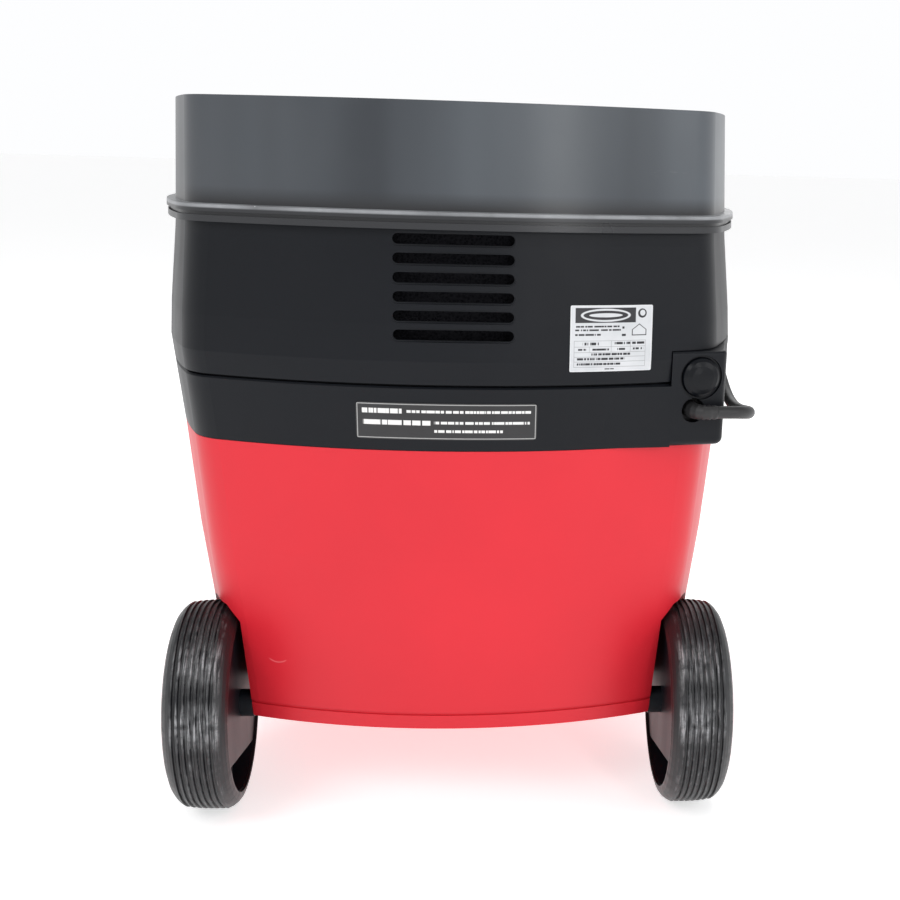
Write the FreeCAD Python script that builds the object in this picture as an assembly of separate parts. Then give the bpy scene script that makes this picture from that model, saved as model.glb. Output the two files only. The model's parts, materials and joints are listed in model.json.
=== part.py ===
import FreeCAD, Part
import math
import os
from FreeCAD import Vector as V

os.makedirs("parts", exist_ok=True)

# Shop vacuum, millimetres.  Floor at Z = 0, rear (wheels, vents) toward -Y, hose inlet toward +Y.
# The plan is a rounded square: four gently bulged faces and four small corners.
BULGE = 354.0            # radius of each bulged face
CORNER = 28.0            # radius of each vertical corner
WALL = 3.0               # moulded wall

# Half-widths of the outer skin at the heights where the outline changes.
TUB_LEVELS = [(58.0, 153.4), (109.4, 159.6), (168.2, 166.9), (234.3, 172.5)]
BAND_LEVELS = [(234.6, 172.6), (269.6, 176.4), (270.6, 175.4)]
COVER_LEVELS = [(272.0, 176.7), (284.6, 178.0), (304.0, 176.6), (346.0, 171.9), (353.2, 171.3)]
DRUM_LEVELS = [(353.5, 171.3), (418.0, 167.6)]

TUB_FLOOR = (76.0, 80.0)         # underside and top of the tub floor
TUB_NECK = 4.2                   # the rim steps in by this much inside the band
TUB_RIM_Z = 240.0
GROOVE_Z = 68.0

WHEEL_R = 63.5
WHEEL_IN, WHEEL_OUT = 128.5, 166.0
AXLE_Y = -125.0
AXLE_R = 5.0
RUN_FIT = 0.05                   # radial clearance of every turning fit
ARCH_R = 67.5                    # wheel recess radius
ARCH_WALL = [(58.0, 122.0), (140.0, 127.5)]   # height, X of the recess wall (drafted)

CASTER_X, CASTER_Y, CASTER_R = 95.0, 104.0, 23.0
CASTER_TRAIL = 16.0

SEAL_Z = (240.0, 243.0)
DECK_Z = (243.0, 247.0)
FLANGE_Z = (247.0, 250.0)
BRIM_Z = (353.5, 362.5)
CADDY_FLOOR_Z = (356.0, 359.0)
HANDLE_Z = 404.0

SLOT_COUNT, SLOT_PITCH, SLOT_TOP = 6, 9.95, 348.4
SLOT_W, SLOT_H = 64.5, 5.6

BLOCK_Z = (234.6, 289.0)
FACET_TURN = 12.0                # the block's rear face is turned this many degrees to the right
BUTTON_POS = (139.5, 274.3)      # X and Z of the button on that face
BUTTON_R, BUTTON_TRAVEL = 11.2, 3.0
OUTLET_POS = (135.7, 255.5)      # X and Z of the cord recess
OUTLET_R = 7.0

CORD_R = 3.7
COIL_AT = (40.0, 330.0)
COIL_R = (30.8, 71.9)
COIL_H = 45.0

INLET_Z = 190.0
INLET_FRONT = 188.5              # front face of the hose collar


# ---------------------------------------------------------------- helpers
def plan(half, z, inset=0.0, grow=0.0):
    """Closed outline of the rounded square at height z, moved in by inset or out by grow."""
    d = grow - inset
    rs, rc, a = BULGE + d, max(CORNER + d, 2.0), half + d
    k = rs - a
    c = (-k + math.sqrt(2.0 * (rs - rc) ** 2 - k * k)) / 2.0
    tx, ty = c * rs / (rs - rc), -k + (c + k) * rs / (rs - rc)
    diag = c + rc * math.sqrt(0.5)
    quarter = [((ty, -tx), (a, 0), (ty, tx)), ((ty, tx), (diag, diag), (tx, ty))]
    edges = []
    for turn in range(4):
        ct, st = [(1, 0), (0, 1), (-1, 0), (0, -1)][turn]
        for tri in quarter:
            pts = [V(x * ct - y * st, x * st + y * ct, z) for x, y in tri]
            edges.append(Part.Arc(*pts).toShape())
    return Part.Wire(edges)


def half_at(levels, z):
    """Half-width of a stack of levels at height z, carried on past its ends."""
    for (z0, a0), (z1, a1) in zip(levels, levels[1:]):
        if z <= z1 or (z1, a1) == levels[-1]:
            return a0 + (a1 - a0) * (z - z0) / (z1 - z0)


def stack(levels, z0, z1, inset=0.0, grow=0.0):
    """Solid between two heights that follows the levels, moved in or out."""
    zs = [z0] + [z for z, _ in levels if z0 < z < z1] + [z1]
    parts = [Part.makeLoft([plan(half_at(levels, p), p, inset, grow),
                            plan(half_at(levels, q), q, inset, grow)], True, True)
             for p, q in zip(zs, zs[1:])]
    return fuse(parts)


def prism(half, z0, z1):
    """Straight rounded-square prism."""
    return Part.Face(plan(half, z0)).extrude(V(0, 0, z1 - z0))


def fuse(shapes):
    out = shapes[0]
    for s in shapes[1:]:
        out = out.fuse(s)
    return out.removeSplitter() if len(shapes) > 1 else out


def cut(base, *tools):
    for t in tools:
        base = base.cut(t)
    return base


def box(x0, x1, y0, y1, z0, z1):
    return Part.makeBox(x1 - x0, y1 - y0, z1 - z0, V(x0, y0, z0))


def rod(r, start, end):
    """Round bar between two points."""
    a, b = V(*start), V(*end)
    return Part.makeCylinder(r, (b - a).Length, a, b - a)


def tube(ro, ri, start, end):
    return rod(ro, start, end).cut(rod(ri, start, end))


def turned(points, centre, axis):
    """Solid of revolution of (along, radius) points about an axis through centre."""
    prof = Part.makePolygon([V(r, 0, s) for s, r in points] + [V(points[0][1], 0, points[0][0])])
    solid = Part.Face(prof).revolve(V(0, 0, 0), V(0, 0, 1), 360)
    solid.Placement = FreeCAD.Placement(V(*centre), FreeCAD.Rotation(V(0, 0, 1), V(*axis)))
    return solid


def mirrored(shape):
    return shape.mirror(V(0, 0, 0), V(1, 0, 0))


def save(name, shape):
    shape.exportStep("parts/%s.step" % name)


def save_pair(name, right):
    save(name + "_right", right)
    save(name + "_left", mirrored(right))


def pipe(points, r, smooth=0.45):
    """Plain tube of straight runs joined by tangent arcs."""
    pts = [V(*p) for p in points]
    edges, here = [], pts[0]
    for a, b, c in zip(pts, pts[1:], pts[2:]):
        u, w = (a - b), (c - b)
        turn = math.pi - u.getAngle(w)
        if turn < 0.01:
            continue
        t = smooth * min(u.Length, w.Length)
        p, q = b + u.normalize() * t, b + w.normalize() * t
        rad = t / math.tan(turn / 2.0)
        print("bend radius %.0f mm, turn %.0f deg" % (rad, math.degrees(turn)))
        mid_dir = ((p + q) * 0.5 - b).normalize()
        mid = b + mid_dir * (rad / math.cos(turn / 2.0) - rad)
        edges += [Part.makeLine(here, p), Part.Arc(p, mid, q).toShape()]
        here = q
    edges.append(Part.makeLine(here, pts[-1]))
    spine = Part.Wire(edges)
    ring = Part.Wire(Part.makeCircle(r, pts[0], (pts[1] - pts[0])))
    solid = spine.makePipeShell([ring], True, True)
    print("tube length %.0f mm, volume ratio %.4f"
          % (spine.Length, solid.Volume / (math.pi * r * r * spine.Length)))
    return solid


# ---------------------------------------------------------------- tub
ARCH_BEVEL_X = 134.5                # the recess roof slopes down to its wall inside this X


def arch(r, wall_shift, side):
    """Wheel recess volume: a cylinder about the axle with a bevelled inner end and a drafted wall."""
    bevel = ARCH_BEVEL_X - 0.5 * wall_shift
    cyl = turned([(100, 0), (100, r - (bevel - 100)), (bevel, r), (220, r), (220, 0)],
                 (0, AXLE_Y, WHEEL_R), (1, 0, 0))
    (z0, x0), (z1, x1) = ARCH_WALL
    x0, x1 = x0 - wall_shift, x1 - wall_shift
    slope = (x1 - x0) / (z1 - z0)
    low, high = -20.0, 160.0
    pts = [V(x0 + slope * (low - z0), -260, low), V(x0 + slope * (high - z0), -260, high),
           V(230, -260, high), V(230, -260, low)]
    wedge = Part.Face(Part.makePolygon(pts + [pts[0]])).extrude(V(0, 260, 0))
    solid = cyl.common(wedge)
    return mirrored(solid) if side < 0 else solid


skin = stack(TUB_LEVELS, TUB_LEVELS[0][0], TUB_LEVELS[-1][0])
neck = prism(TUB_LEVELS[-1][1] - TUB_NECK, TUB_LEVELS[-1][0] - 6, TUB_RIM_Z)
cavity = stack(TUB_LEVELS, TUB_FLOOR[1], TUB_LEVELS[-1][0] - 8, WALL)
throat = prism(TUB_LEVELS[-1][1] - TUB_NECK - WALL, TUB_LEVELS[-1][0] - 10, TUB_RIM_Z + 5)
skirt = stack(TUB_LEVELS, TUB_LEVELS[0][0] - 5, TUB_FLOOR[0], WALL)
groove = stack(TUB_LEVELS, GROOVE_Z - 1.0, GROOVE_Z + 1.0, 0, 2).cut(
    stack(TUB_LEVELS, GROOVE_Z - 2.0, GROOVE_Z + 2.0, 0.9))
hollow = cavity.fuse(throat)
for side in (1, -1):
    hollow = hollow.cut(arch(ARCH_R + WALL, WALL, side))
    skirt = skirt.cut(arch(ARCH_R + WALL, WALL, side))
tub = skin.fuse(neck)
for side in (1, -1):
    tub = tub.cut(arch(ARCH_R, 0, side))
tub = cut(tub, hollow, skirt, groove)

COLLAR_R, INLET_BORE = 32.0, 25.0
tub = tub.cut(rod(COLLAR_R, (0, 140, INLET_Z), (0, 200, INLET_Z)))
BOLT_CIRCLE = 39.0
screw_spots = [(BOLT_CIRCLE * math.cos(math.radians(t)), BOLT_CIRCLE * math.sin(math.radians(t)))
               for t in (45, 135, 225, 315)]
for dx, dz in screw_spots:
    tub = tub.cut(rod(2.2, (dx, 140, INLET_Z + dz), (dx, 200, INLET_Z + dz)))
SPIGOT_R = 6.6
for side in (1, -1):
    tub = tub.cut(rod(SPIGOT_R, (side * 105, AXLE_Y, WHEEL_R), (side * 140, AXLE_Y, WHEEL_R)))
LATCH_Y, LATCH_W = 52.0, 36.0
LATCH_PIVOT = (182.5, 214.0)        # X and Z of the latch hinge
for side in (1, -1):
    for dy in (-8, 8):
        tub = tub.cut(rod(1.7, (side * 150, LATCH_Y + dy, 203), (side * 190, LATCH_Y + dy, 203)))
tub = tub.removeSplitter()
save("tub", tub)


# ---------------------------------------------------------------- rear axle, carriers, wheels
carrier = cut(rod(52.2, (130.2, AXLE_Y, WHEEL_R), (133.0, AXLE_Y, WHEEL_R)))
lower = Part.makeBox(60, 160, 80, V(100, -80, -80))
lower.Placement = FreeCAD.Placement(V(0, AXLE_Y, WHEEL_R - 33.0), FreeCAD.Rotation(V(1, 0, 0), -14))
carrier = carrier.cut(lower)
boss = rod(8.4, (110, AXLE_Y, WHEEL_R), (131, AXLE_Y, WHEEL_R)).common(arch(ARCH_R, 0, 1))
spigot = rod(SPIGOT_R - 0.1, (112, AXLE_Y, WHEEL_R), (131, AXLE_Y, WHEEL_R))
carrier = fuse([carrier, boss, spigot]).cut(rod(AXLE_R, (90, AXLE_Y, WHEEL_R), (170, AXLE_Y, WHEEL_R)))
save_pair("axle_carrier", carrier)

AXLE_END = 165.0
axle = rod(AXLE_R, (-AXLE_END, AXLE_Y, WHEEL_R), (AXLE_END, AXLE_Y, WHEEL_R))
axle = axle.makeChamfer(0.8, [e for e in axle.Edges if e.Curve.TypeId == "Part::GeomCircle"])
save("rear_axle", axle)
cap = turned([(162.4, AXLE_R), (162.4, 9.0), (166.5, 9.0), (168.2, 7.4), (168.6, 0.0), (AXLE_END, 0.0),
              (AXLE_END, AXLE_R)], (0, AXLE_Y, WHEEL_R), (1, 0, 0))
cap = cap.cut(rod(AXLE_R, (150, AXLE_Y, WHEEL_R), (AXLE_END, AXLE_Y, WHEEL_R)))
save_pair("axle_cap", cap)

RIM_R, TYRE_IN_R = 56.0, 53.2
hub_r = AXLE_R + RUN_FIT
core = turned([(134.0, hub_r), (134.0, 12.5), (149.0, 13.5), (149.0, 52.6), (130.4, 53.4), (130.4, RIM_R),
               (163.6, RIM_R), (163.6, 52.8), (153.0, 52.2), (153.0, 15.0), (162.0, 13.5), (162.0, hub_r)],
              (0, AXLE_Y, WHEEL_R), (1, 0, 0))
ribs = []
for n in range(6):
    rib = box(138.0, 149.5, -1.4, 1.4, 12.0, 53.0)
    rib.rotate(V(0, 0, 0), V(1, 0, 0), 60.0 * n)
    rib.translate(V(0, AXLE_Y, WHEEL_R))
    ribs.append(rib)
core = fuse([core] + ribs)
save_pair("wheel", core)

tread = [(WHEEL_IN, 54.0), (WHEEL_IN, 55.6), (129.4, 58.4), (131.0, 60.6), (133.0, 62.2), (134.6, 63.0)]
for n in range(7):
    g = 136.8 + 3.5 * n
    crown = WHEEL_R - 0.006 * max(0.0, g - 144.0) ** 2
    tread += [(g - 1.1, crown), (g - 0.5, crown - 1.3), (g + 0.5, crown - 1.3), (g + 1.1, crown)]
tread += [(160.6, 61.4), (162.6, 59.6), (164.6, 57.0), (WHEEL_OUT, 53.6), (163.8, 53.6),
          (163.8, RIM_R + 0.01), (130.2, RIM_R + 0.01), (130.2, 54.0)]
tyre = turned(tread, (0, AXLE_Y, WHEEL_R), (1, 0, 0))
save_pair("tyre", tyre)


# ---------------------------------------------------------------- front casters
STEM_R = 5.5
at = (CASTER_X, CASTER_Y)
housing = fuse([rod(24.0, (at[0], at[1], 72), (at[0], at[1], TUB_FLOOR[0])),
                rod(12.0, (at[0], at[1], 54.4), (at[0], at[1], 74))])
housing = housing.cut(rod(STEM_R + RUN_FIT, (at[0], at[1], 50), (at[0], at[1], 75.2)))
for dx, dy in ((17, 0), (-17, 0), (0, 17), (0, -17)):
    housing = housing.cut(rod(2.1, (at[0] + dx, at[1] + dy, 70), (at[0] + dx, at[1] + dy, 80)))
save_pair("caster_housing", housing)

wy = CASTER_Y - CASTER_TRAIL
crown = fuse([rod(13.0, (at[0], at[1], 49.5), (at[0], at[1], 54.0)),
              box(at[0] - 12.5, at[0] + 12.5, wy - 8, at[1] + 2, 49.5, 53.0)])
cheeks = []
for s in (1, -1):
    x0, x1 = sorted((at[0] + s * 10.0, at[0] + s * 12.5))
    cheeks += [box(x0, x1, wy - 8, wy + 10, 23, 50), rod(8.0, (x0, wy, 23), (x1, wy, 23))]
fork = fuse([crown] + cheeks + [rod(STEM_R, (at[0], at[1], 50), (at[0], at[1], 74.6))])
PIN_R = 3.0
fork = fork.cut(rod(PIN_R, (at[0] - 20, wy, 23), (at[0] + 20, wy, 23)))
save_pair("caster_fork", fork)
save_pair("caster_pin", rod(PIN_R, (at[0] - 13.4, wy, 23), (at[0] + 13.4, wy, 23)))
roller = turned([(-9.2, PIN_R + RUN_FIT), (-9.2, 8), (-8.0, 8), (-8.0, 20.5), (-6.2, 22.5), (-3.5, CASTER_R),
                 (3.5, CASTER_R), (6.2, 22.5), (8.0, 20.5), (8.0, 8), (9.2, 8), (9.2, PIN_R + RUN_FIT)],
                (at[0], wy, 23), (1, 0, 0))
save_pair("caster_wheel", roller)


# ---------------------------------------------------------------- hose inlet
tub_front = half_at(TUB_LEVELS, INLET_Z)
collar = fuse([rod(46.0, (0, tub_front - 6, INLET_Z), (0, tub_front + 5.5, INLET_Z)),
               rod(COLLAR_R + 1.0, (0, tub_front, INLET_Z), (0, INLET_FRONT, INLET_Z)),
               rod(COLLAR_R - 0.2, (0, tub_front - 20, INLET_Z), (0, tub_front, INLET_Z))])
outside = stack(TUB_LEVELS, 120, 234, 0, 60).cut(stack(TUB_LEVELS, 119, 235))
plug_in = rod(COLLAR_R - 0.2, (0, 100, INLET_Z), (0, 200, INLET_Z))
collar = collar.common(outside.fuse(plug_in))
collar = collar.cut(rod(INLET_BORE, (0, 100, INLET_Z), (0, 200, INLET_Z)))
for dx, dz in screw_spots:
    collar = collar.cut(rod(2.2, (dx, 140, INLET_Z + dz), (dx, 200, INLET_Z + dz)))
save("inlet_collar", collar.removeSplitter())

screws = []
for dx, dz in screw_spots:
    head_y = tub_front + 5.5
    screws.append(fuse([rod(3.6, (dx, head_y, INLET_Z + dz), (dx, head_y + 2.2, INLET_Z + dz)),
                        rod(2.1, (dx, head_y - 18, INLET_Z + dz), (dx, head_y, INLET_Z + dz))]))
save("inlet_screws", Part.makeCompound(screws))

back = tub_front - 20.0
bend = tube(COLLAR_R, 28.5, (0, back - 34, INLET_Z), (0, back, INLET_Z))
hood = Part.makeSphere(COLLAR_R, V(0, back - 34, INLET_Z)).cut(Part.makeSphere(28.5, V(0, back - 34, INLET_Z)))
hood = hood.common(box(-40, 40, back - 90, back - 34, INLET_Z - 40, INLET_Z + 40))
drop = tube(COLLAR_R, 28.5, (0, back - 34, INLET_Z - 44), (0, back - 34, INLET_Z))
elbow = fuse([bend.cut(rod(28.5, (0, back - 34, INLET_Z - 50), (0, back - 34, INLET_Z))),
              hood.cut(rod(28.5, (0, back - 34, INLET_Z - 50), (0, back - 34, INLET_Z))),
              drop.cut(rod(28.5, (0, back - 34, INLET_Z), (0, back + 1, INLET_Z)))])
save("inlet_deflector", elbow)


# ---------------------------------------------------------------- head: deck, band, cover
seal = prism(168.0, *SEAL_Z).cut(prism(159.0, SEAL_Z[0] - 1, SEAL_Z[1] + 1))
save("tub_seal", seal)

deck = stack(BAND_LEVELS, DECK_Z[0], DECK_Z[1], WALL + 0.4)
deck = deck.cut(rod(34.0, (0, 0, 230), (0, 0, 260)))
save("motor_deck", deck)

turn = math.radians(FACET_TURN)
FACE_OUT = V(math.sin(turn), -math.cos(turn), 0)
FACE_RIGHT = V(math.cos(turn), math.sin(turn), 0)
FACE_LEFT_EDGE = V(122.0, -157.2, 0)


def on_face(x, z, depth=0.0):
    """Point on the block's rear face at the given X and Z, sunk by depth."""
    p = FACE_LEFT_EDGE + FACE_RIGHT * ((x - FACE_LEFT_EDGE.x) / FACE_RIGHT.x)
    return V(p.x, p.y, z) - FACE_OUT * depth


def bored(r, spot, d0, d1):
    a, b = on_face(spot[0], spot[1], d0), on_face(spot[0], spot[1], d1)
    return rod(r, (a.x, a.y, a.z), (b.x, b.y, b.z))


def block_prism(z0, z1, grow=0.0):
    """Housing outline at the right rear corner: flat rear face, small corner, side face."""
    pts = [V(122.0, -157.2, z0), V(150.4, -151.2, z0), V(154.9, -145.6, z0), V(167.8, -84.0, z0)]
    edges = [Part.makeLine(pts[0], pts[1]),
             Part.Arc(pts[1], V(153.6, -149.2, z0), pts[2]).toShape(),
             Part.makeLine(pts[2], pts[3]),
             Part.makeLine(pts[3], V(140, -84, z0)), Part.makeLine(V(140, -84, z0), V(122, -110, z0)),
             Part.makeLine(V(122, -110, z0), pts[0])]
    wire = Part.Wire(edges)
    if grow:
        wire = wire.makeOffset2D(grow)
    return Part.Face(wire).extrude(V(0, 0, z1 - z0))


core_zone = fuse([stack(BAND_LEVELS, 225.0, 270.9, WALL + 0.2), stack(COVER_LEVELS, 270.9, 300.0, WALL + 0.2)])
block_room = block_prism(BLOCK_Z[0] - 5, BLOCK_Z[1] + 0.4, 0.4)
opening = block_room.cut(core_zone)

band = stack(BAND_LEVELS, BAND_LEVELS[0][0], BAND_LEVELS[-1][0])
band = band.cut(stack(BAND_LEVELS, 230, 275, WALL))
flange = stack(BAND_LEVELS, FLANGE_Z[0], FLANGE_Z[1], WALL - 0.5).cut(prism(154.0, 240, 255))
band = fuse([band, flange])
lugs = []
for side in (1, -1):
    lug = box(165, 177.2, LATCH_Y - 17, LATCH_Y + 17, 248.0, 255.0)
    lug = lug.cut(stack(BAND_LEVELS, 240, 262, 1.0))
    lugs.append(lug if side > 0 else mirrored(lug))

# the band swells out towards the right rear corner and carries the switch and cord housing
ramp = []
for z, _ in (BAND_LEVELS[0], BAND_LEVELS[-2]):
    start_y = 9.0 - half_at(BAND_LEVELS, z)
    corners = [V(78.0, start_y, z), V(122.6, -157.05, z), V(122.6, -148.0, z), V(78.0, -148.0, z)]
    ramp.append(Part.makePolygon(corners + [corners[0]]))
ramp = Part.makeLoft(ramp, True, True).cut(stack(BAND_LEVELS, 230, 275, 1.0))
band = fuse([band, ramp] + lugs).cut(block_prism(BLOCK_Z[0] - 5, BLOCK_Z[1], -0.6).cut(core_zone))

cover = stack(COVER_LEVELS, COVER_LEVELS[0][0], COVER_LEVELS[-1][0])
cover = cover.cut(stack(COVER_LEVELS, 265, 360, WALL))
step = prism(172.0, 263.0, 277.0).cut(prism(169.0, 260, 280))
shelf = prism(175.2, 274.0, 277.0).cut(prism(170.0, 260, 280))
cover = fuse([cover, shelf.cut(block_room), step.cut(block_room)]).cut(opening)
slots = []
for n in range(SLOT_COUNT):
    z = SLOT_TOP - SLOT_PITCH * n
    for r, y0, y1 in ((SLOT_H / 2, -190, -150), (SLOT_H / 2 + 0.9, -190, None)):
        if y1 is None:
            y1 = -half_at(COVER_LEVELS, z) + 1.6
        w = SLOT_W / 2 - SLOT_H / 2
        slots.append(fuse([box(-w, w, y0, y1, z - r, z + r), rod(r, (-w, y0, z), (-w, y1, z)),
                           rod(r, (w, y0, z), (w, y1, z))]))
cover = cut(cover, *slots)
rib_x, rib_zs = 47.0, (292.0, 304.0, 346.0, 352.0)
rim_pts = [V(rib_x, rib_x ** 2 / (2 * BULGE) - half_at(COVER_LEVELS, z) + WALL / 2, z) for z in rib_zs]
rim_pts += [V(rib_x, -150, rib_zs[-1]), V(rib_x, -150, rib_zs[0]), rim_pts[0]]
rib = Part.Face(Part.makePolygon(rim_pts)).extrude(V(2, 0, 0))
cover = fuse([cover, rib, mirrored(rib)])
save("head_cover", cover.removeSplitter())
save("exhaust_foam", box(-46.7, 46.7, -163.0, -151.0, 292.5, 352.5))


# ---------------------------------------------------------------- switch and cord housing
block = block_prism(*BLOCK_Z)
top_edges = [e for e in block.Edges
             if all(abs(v.Z - BLOCK_Z[1]) < 0.01 for v in e.Vertexes)
             and all(v.Y < -83 and v.X > 121 for v in e.Vertexes)
             and e.BoundBox.YMin < -84.5 and not (e.BoundBox.XLength < 0.1)]
block = block.makeFillet(2.0, top_edges)
low_edges = [e for e in block.Edges
             if all(abs(v.Z - BLOCK_Z[0]) < 0.01 and v.X > 150 for v in e.Vertexes)]
block = block.makeFillet(4.0, low_edges)
inner = block_prism(BLOCK_Z[0] + 4.4, BLOCK_Z[1] - 3, -3.0)
block = block.cut(inner).cut(core_zone)
block = fuse([block, bored(14.3, BUTTON_POS, 0.5, 14.0), bored(9.3, OUTLET_POS, 0.5, 9.5)])
band = cut(fuse([band, block]), bored(BUTTON_R + 1.5, BUTTON_POS, -5, 1.4),
           bored(BUTTON_R + 0.3, BUTTON_POS, -5, 11.0),
           bored(3.4, BUTTON_POS, 0, 20),
           bored(OUTLET_R, OUTLET_POS, -5, 12.0))
print("head band solids", len(band.Solids), band.isValid())
save("head_band", band)

spot = on_face(BUTTON_POS[0], BUTTON_POS[1])
button = turned([(3.6, 0), (3.4, 3.5), (2.9, 6.5), (1.9, 9.2), (0.6, 10.8), (-0.6, BUTTON_R), (-7.5, BUTTON_R),
                 (-7.5, 3.0), (-13.7, 3.0), (-13.7, 0)], (spot.x, spot.y, spot.z), (FACE_OUT.x, FACE_OUT.y, 0))
save("power_button", button)
switch = box(-10, 10, -9, 9, -32, -14.0).cut(rod(3.4, (0, 0, -20), (0, 0, -13)))
switch.Placement = FreeCAD.Placement(spot, FreeCAD.Rotation(V(0, 0, 1), FACE_OUT))
save("switch_body", switch)

gland = fuse([bored(OUTLET_R, OUTLET_POS, 8.0, 9.5), bored(4.8, OUTLET_POS, 9.5, 17.0)])
save("cord_gland", gland)
BOOT_BEND, BOOT_R, BOOT_TAIL = 7.2, 4.8, 4.0
q0 = on_face(OUTLET_POS[0], OUTLET_POS[1], 8.0)
q1 = on_face(OUTLET_POS[0], OUTLET_POS[1], 0.0)
q2 = q1 + FACE_OUT * BOOT_BEND + FACE_RIGHT * BOOT_BEND
qm = q1 + FACE_RIGHT * BOOT_BEND + (FACE_OUT - FACE_RIGHT) * (BOOT_BEND * math.sqrt(0.5))
q3 = q2 + FACE_RIGHT * BOOT_TAIL
spine = Part.Wire([Part.makeLine(q0, q1), Part.Arc(q1, qm, q2).toShape(), Part.makeLine(q2, q3)])
boot = spine.makePipeShell([Part.Wire(Part.makeCircle(BOOT_R, q0, FACE_OUT))], True, True)
save("cord_boot", boot)
CORD_START = (q3.x, q3.y, q3.z)
print("cord starts at", CORD_START)

route = [CORD_START, (158.4, -156.6, 255.1), (167.3, -149.4, 253.6), (172.0, -138.8, 251.6),
         (174.6, -119.0, 248.2), (176.4, -92.0, 243.8), (178.2, -64.0, 241.2), (179.8, -36.0, 242.8),
         (181.0, -10.0, 249.4), (181.6, 16.0, 259.6), (181.4, 42.0, 267.0), (180.2, 66.0, 266.0),
         (178.0, 87.0, 256.0), (175.0, 101.0, 238.0), (171.8, 111.0, 208.0), (168.5, 120.0, 172.0),
         (165.0, 128.0, 134.0), (160.5, 138.0, 96.0), (155.0, 150.0, 60.0), (148.0, 166.0, 30.0),
         (139.5, 188.0, 11.0), (130.0, 216.0, 4.2), (119.5, 250.0, CORD_R + 0.1),
         (111.0, 288.0, CORD_R + 0.1), (COIL_AT[0] + COIL_R[1] - CORD_R, COIL_AT[1] - 4.0, CORD_R + 0.1)]
save("cord", pipe(route, CORD_R))
ring_mid, ring_half = sum(COIL_R) / 2, (COIL_R[1] - COIL_R[0]) / 2
coil = turned([(0.0, COIL_R[0] + 4), (0.0, COIL_R[1] - 4), (4.0, COIL_R[1]), (COIL_H - 4, COIL_R[1]),
               (COIL_H, COIL_R[1] - 4), (COIL_H, COIL_R[0] + 4), (COIL_H - 4, COIL_R[0]), (4.0, COIL_R[0])],
              (COIL_AT[0], COIL_AT[1], 0), (0, 0, 1))
save("cord_coil", coil)
tie = box(COIL_R[0] - 2.2, COIL_R[1] + 1.6, -6, 6, 0.0, COIL_H + 1.6).cut(
    box(COIL_R[0] - 0.65, COIL_R[1] + 0.05, -7, 7, -1.0, COIL_H + 0.05))
tie.rotate(V(0, 0, 0), V(0, 0, 1), 128)
tie.translate(V(COIL_AT[0], COIL_AT[1], 0))
save("cord_tie", tie)
PLUG_R = 13.0
leave = math.radians(135.0)          # the tail leaves the top turn here
tail = [(COIL_AT[0] + (COIL_R[1] - CORD_R) * math.cos(leave),
         COIL_AT[1] + (COIL_R[1] - CORD_R) * math.sin(leave), COIL_H - CORD_R),
        (-25.0, 361.0, 38.5), (-43.0, 344.0, 32.0), (-63.0, 328.0, 23.0), (-85.0, 314.0, 15.5),
        (-108.0, 304.0, PLUG_R), (-130.0, 298.0, PLUG_R)]
save("cord_tail", pipe(tail, CORD_R))
end = V(*tail[-1])
way = (end - V(*tail[-2])).normalize()
plug = turned([(0, 0), (0, 5.2), (22, 6.0), (26, 8.5), (33, 11.5), (40, PLUG_R - 0.05), (54, PLUG_R - 0.05),
               (56, 12.2), (56, 0)], (end.x, end.y, end.z), (way.x, way.y, way.z))
save("plug", plug)
blades = [box(-0.8, 0.8, s * 6.35 - 3.1, s * 6.35 + 3.1, 52, 73) for s in (1, -1)]
blades.append(fuse([rod(2.4, (7.5, 0, 52), (7.5, 0, 73)), Part.makeSphere(2.4, V(7.5, 0, 73))]))
blades = Part.makeCompound(blades)
blades.Placement = FreeCAD.Placement(end, FreeCAD.Rotation(V(1, 0, 0), V(0, 0, 1), way, "ZYX"))
save("plug_blades", blades)


# ---------------------------------------------------------------- drum (open tool caddy) and handle
drum = stack(DRUM_LEVELS, DRUM_LEVELS[0][0], DRUM_LEVELS[-1][0])
drum = drum.cut(stack(DRUM_LEVELS, CADDY_FLOOR_Z[1], 425, WALL))
drum = drum.cut(stack(DRUM_LEVELS, 340, CADDY_FLOOR_Z[0], WALL))
brim_low = stack(DRUM_LEVELS, BRIM_Z[0], BRIM_Z[0] + 3.4, 0, 4.2).cut(stack(DRUM_LEVELS, 350, 365, 1))
brim_mid = stack(DRUM_LEVELS, BRIM_Z[0] + 3.0, BRIM_Z[1] - 3.0, 0, 2.6).cut(stack(DRUM_LEVELS, 350, 365, 1))
brim_top = stack(DRUM_LEVELS, BRIM_Z[1] - 3.6, BRIM_Z[1], 0, 5.0).cut(stack(DRUM_LEVELS, 350, 370, 1))
lip = stack(DRUM_LEVELS, 414.5, 418.0, WALL - 0.5).cut(stack(DRUM_LEVELS, 410, 420, WALL + 3.5))
drum = fuse([drum, brim_low, brim_mid, brim_top, lip])
HANDLE_X = 152.0
ears = []
for side in (1, -1):
    ear = fuse([box(157.5, 167.5, -9, 9, 358.5, HANDLE_Z), rod(9.0, (157.5, 0, HANDLE_Z), (167.0, 0, HANDLE_Z))])
    ears.append(ear if side > 0 else mirrored(ear))
ledge = stack(DRUM_LEVELS, CADDY_FLOOR_Z[1] - 1.0, CADDY_FLOOR_Z[1] + 2.0, WALL - 0.5).cut(
    prism(161.0, CADDY_FLOOR_Z[1] - 2.0, CADDY_FLOOR_Z[1] + 3.0))
rests = [box(x, x + 10, 118, 166.5, 358.5, HANDLE_Z - 9.2) for x in (-30, 20)]
drum = fuse([drum, ledge] + ears + rests)
PIVOT_R = 4.0
for side in (1, -1):
    drum = drum.cut(rod(PIVOT_R, (side * 155, 0, HANDLE_Z), (side * 166, 0, HANDLE_Z)))
save("caddy_drum", drum)

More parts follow.
